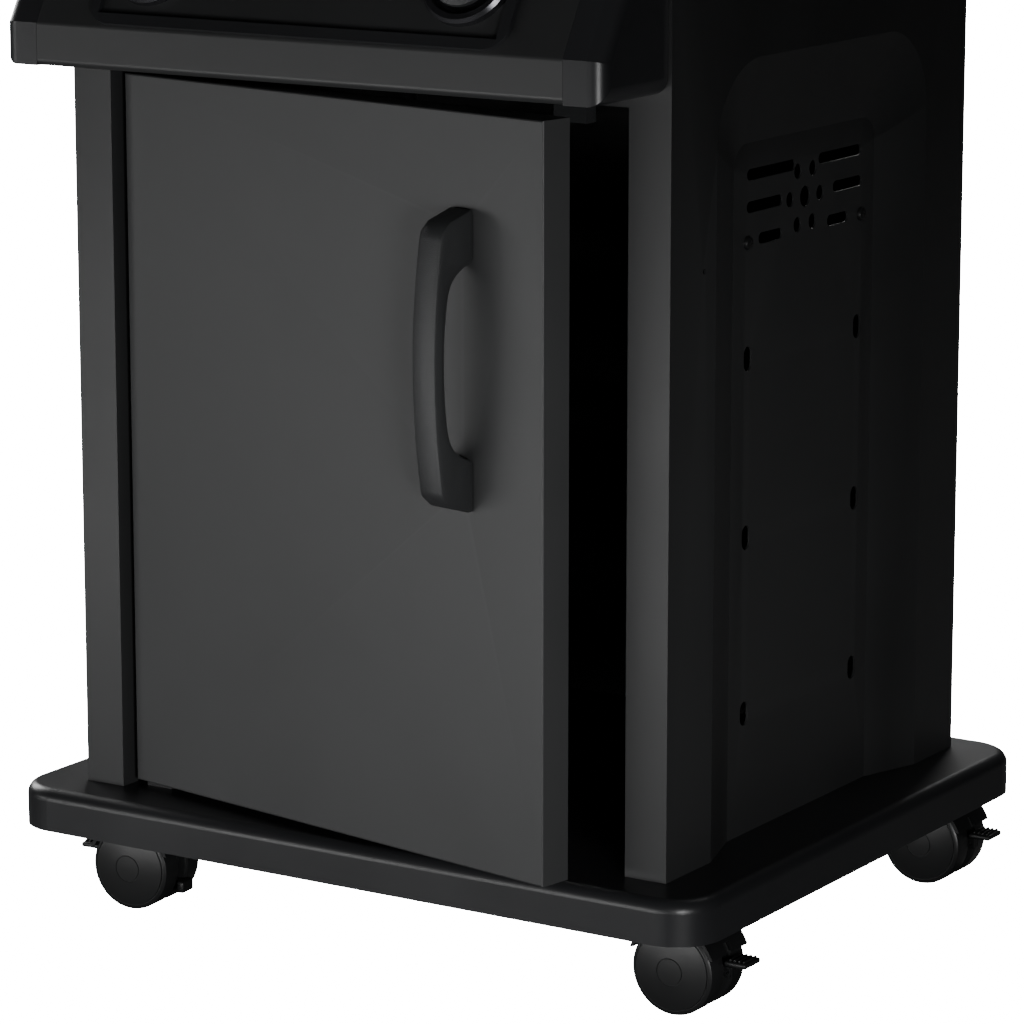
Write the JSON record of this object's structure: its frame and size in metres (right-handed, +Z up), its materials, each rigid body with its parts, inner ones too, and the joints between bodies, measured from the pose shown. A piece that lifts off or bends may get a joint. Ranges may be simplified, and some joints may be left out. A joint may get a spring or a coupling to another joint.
{
  "type": "gas barbecue grill",
  "caption": "Cabinet gas barbecue on casters with hinged door, barrel lid, control console and folding side shelves.",
  "frame": {"origin": "on the floor under the middle of the whole grill's box, door ajar and shelves out", "axes": "+X to the right seen from the front, +Y to the back, +Z up"},
  "size_m": [1.048, 0.5554, 1.108],
  "materials": {
    "powder_steel": "satin powder coat",
    "door_paint": "fine satin powder coat",
    "tray_plastic": "satin moulded",
    "handle_plastic": "fine textured",
    "caster_plastic": "satin",
    "wheel_plastic": "satin gloss",
    "zinc_steel": "zinc plated",
    "magnet": "matt",
    "chrome": "polished",
    "brass": "machined",
    "enamel_steel": "gloss enamel",
    "stainless": "brushed",
    "cast_iron": "matt enamel",
    "ceramic": "glazed",
    "aluminium": "pressed",
    "post_metal": "satin",
    "shelf_paint": "satin powder coat"
  },
  "bodies": {
    "cart": {"left_side_panel": "powder_steel", "right_side_panel": "powder_steel", "rear_panel": "powder_steel", "rear_rail": "powder_steel", "front_rail": "powder_steel", "control_panel": "powder_steel", "shelf_brackets": "powder_steel", "lid_hinge_pins": "powder_steel", "grease_tray_rails": "powder_steel", "base_tray": "tray_plastic", "panel_end_caps": "tray_plastic", "fascia_frame": "tray_plastic", "panel_screws": "zinc_steel", "door_hinge_pins": "zinc_steel", "caster_stems": "zinc_steel", "gas_manifold": "zinc_steel", "door_magnet": "magnet", "knob_bezels": "chrome", "gas_valves": "brass", "firebox": "enamel_steel", "left_burner": "stainless", "right_burner": "stainless", "flame_tamers": "stainless", "warming_rack": "stainless", "left_cooking_grate": "cast_iron", "right_cooking_grate": "cast_iron", "igniter_electrodes": "ceramic"},
    "door": {"door_skin": "door_paint", "door_liner": "door_paint", "door_handle": "handle_plastic", "door_handle_screws": "zinc_steel", "door_strike_plate": "zinc_steel"},
    "lid": {"lid_shell": "enamel_steel", "lid_handle_posts": "post_metal", "lid_handle": "stainless", "lid_thermometer": "stainless"},
    "grease_tray": {"grease_tray": "aluminium"},
    "left_shelf": {"left_side_shelf": "shelf_paint"},
    "right_shelf": {"right_side_shelf": "shelf_paint"},
    "left_stem": {"left_valve_stem": "zinc_steel"},
    "left_knob_body": {"left_knob": "handle_plastic"},
    "right_stem": {"right_valve_stem": "zinc_steel"},
    "right_knob_body": {"right_knob": "handle_plastic"},
    "front_left_swivel": {"front_left_caster_hood": "caster_plastic"},
    "front_left_wheel_pair": {"front_left_caster_wheels": "wheel_plastic"},
    "front_left_brake": {"front_left_brake_lever": "caster_plastic"},
    "front_right_swivel": {"front_right_caster_hood": "caster_plastic"},
    "front_right_wheel_pair": {"front_right_caster_wheels": "wheel_plastic"},
    "front_right_brake": {"front_right_brake_lever": "caster_plastic"},
    "rear_left_swivel": {"rear_left_caster_hood": "caster_plastic"},
    "rear_left_wheel_pair": {"rear_left_caster_wheels": "wheel_plastic"},
    "rear_left_brake": {"rear_left_brake_lever": "caster_plastic"},
    "rear_right_swivel": {"rear_right_caster_hood": "caster_plastic"},
    "rear_right_wheel_pair": {"rear_right_caster_wheels": "wheel_plastic"},
    "rear_right_brake": {"rear_right_brake_lever": "caster_plastic"}
  },
  "joints": [
    {"name": "door_hinge", "type": "hinge", "parent": "cart", "child": "door", "pos_m": [-0.194, -0.1643, 0.37], "axis": [0, 0, -1], "range_deg": [-10.4, 95]},
    {"name": "lid_hinge", "type": "hinge", "parent": "cart", "child": "lid", "pos_m": [0, 0.2457, 0.861], "axis": [-1, 0, 0], "range_deg": [0, 80]},
    {"name": "grease_tray_slide", "type": "slide", "parent": "cart", "child": "grease_tray", "axis": [0, 1, 0], "range_m": [0, 0.25]},
    {"name": "left_shelf_fold", "type": "hinge", "parent": "cart", "child": "left_shelf", "pos_m": [-0.262, 0.0297, 0.842], "axis": [0, -1, 0], "range_deg": [0, 90]},
    {"name": "right_shelf_fold", "type": "hinge", "parent": "cart", "child": "right_shelf", "pos_m": [0.262, 0.0297, 0.842], "axis": [0, 1, 0], "range_deg": [0, 90]},
    {"name": "left_knob_turn", "type": "hinge", "parent": "cart", "child": "left_stem", "pos_m": [-0.129, -0.24345, 0.72564], "axis": [0, -0.866, 0.5], "range_deg": [0, 210]},
    {"name": "left_knob_push", "type": "slide", "parent": "left_stem", "child": "left_knob_body", "axis": [0, 0.866, -0.5], "range_m": [0, 0.004], "stiffness_N_per_m": 400},
    {"name": "right_knob_turn", "type": "hinge", "parent": "cart", "child": "right_stem", "pos_m": [0.129, -0.24345, 0.72564], "axis": [0, -0.866, 0.5], "range_deg": [0, 210]},
    {"name": "right_knob_push", "type": "slide", "parent": "right_stem", "child": "right_knob_body", "axis": [0, 0.866, -0.5], "range_m": [0, 0.004], "stiffness_N_per_m": 400},
    {"name": "front_left_swivel", "type": "hinge", "parent": "cart", "child": "front_left_swivel", "pos_m": [-0.215, -0.1313, 0.06], "axis": [0, 0, 1], "continuous": true},
    {"name": "front_left_roll", "type": "hinge", "parent": "front_left_swivel", "child": "front_left_wheel_pair", "pos_m": [-0.23695, -0.13284, 0.0325], "axis": [0.0698, -0.9976, 0], "continuous": true},
    {"name": "front_left_brake", "type": "hinge", "parent": "front_left_swivel", "child": "front_left_brake", "pos_m": [-0.26987, -0.13514, 0.0325], "axis": [0.0698, -0.9976, 0], "range_deg": [0, 8]},
    {"name": "front_right_swivel", "type": "hinge", "parent": "cart", "child": "front_right_swivel", "pos_m": [0.215, -0.1313, 0.06], "axis": [0, 0, 1], "continuous": true},
    {"name": "front_right_roll", "type": "hinge", "parent": "front_right_swivel", "child": "front_right_wheel_pair", "pos_m": [0.237, -0.1313, 0.0325], "axis": [0, 1, 0], "continuous": true},
    {"name": "front_right_brake", "type": "hinge", "parent": "front_right_swivel", "child": "front_right_brake", "pos_m": [0.27, -0.1313, 0.0325], "axis": [0, 1, 0], "range_deg": [0, 8]},
    {"name": "rear_left_swivel", "type": "hinge", "parent": "cart", "child": "rear_left_swivel", "pos_m": [-0.215, 0.2457, 0.06], "axis": [0, 0, 1], "continuous": true},
    {"name": "rear_left_roll", "type": "hinge", "parent": "rear_left_swivel", "child": "rear_left_wheel_pair", "pos_m": [-0.237, 0.2457, 0.0325], "axis": [0, -1, 0], "continuous": true},
    {"name": "rear_left_brake", "type": "hinge", "parent": "rear_left_swivel", "child": "rear_left_brake", "pos_m": [-0.27, 0.2457, 0.0325], "axis": [0, -1, 0], "range_deg": [0, 8]},
    {"name": "rear_right_swivel", "type": "hinge", "parent": "cart", "child": "rear_right_swivel", "pos_m": [0.215, 0.2457, 0.06], "axis": [0, 0, 1], "continuous": true},
    {"name": "rear_right_roll", "type": "hinge", "parent": "rear_right_swivel", "child": "rear_right_wheel_pair", "pos_m": [0.237, 0.2457, 0.0325], "axis": [0, 1, 0], "continuous": true},
    {"name": "rear_right_brake", "type": "hinge", "parent": "rear_right_swivel", "child": "rear_right_brake", "pos_m": [0.27, 0.2457, 0.0325], "axis": [0, 1, 0], "range_deg": [0, 8]}
  ]
}
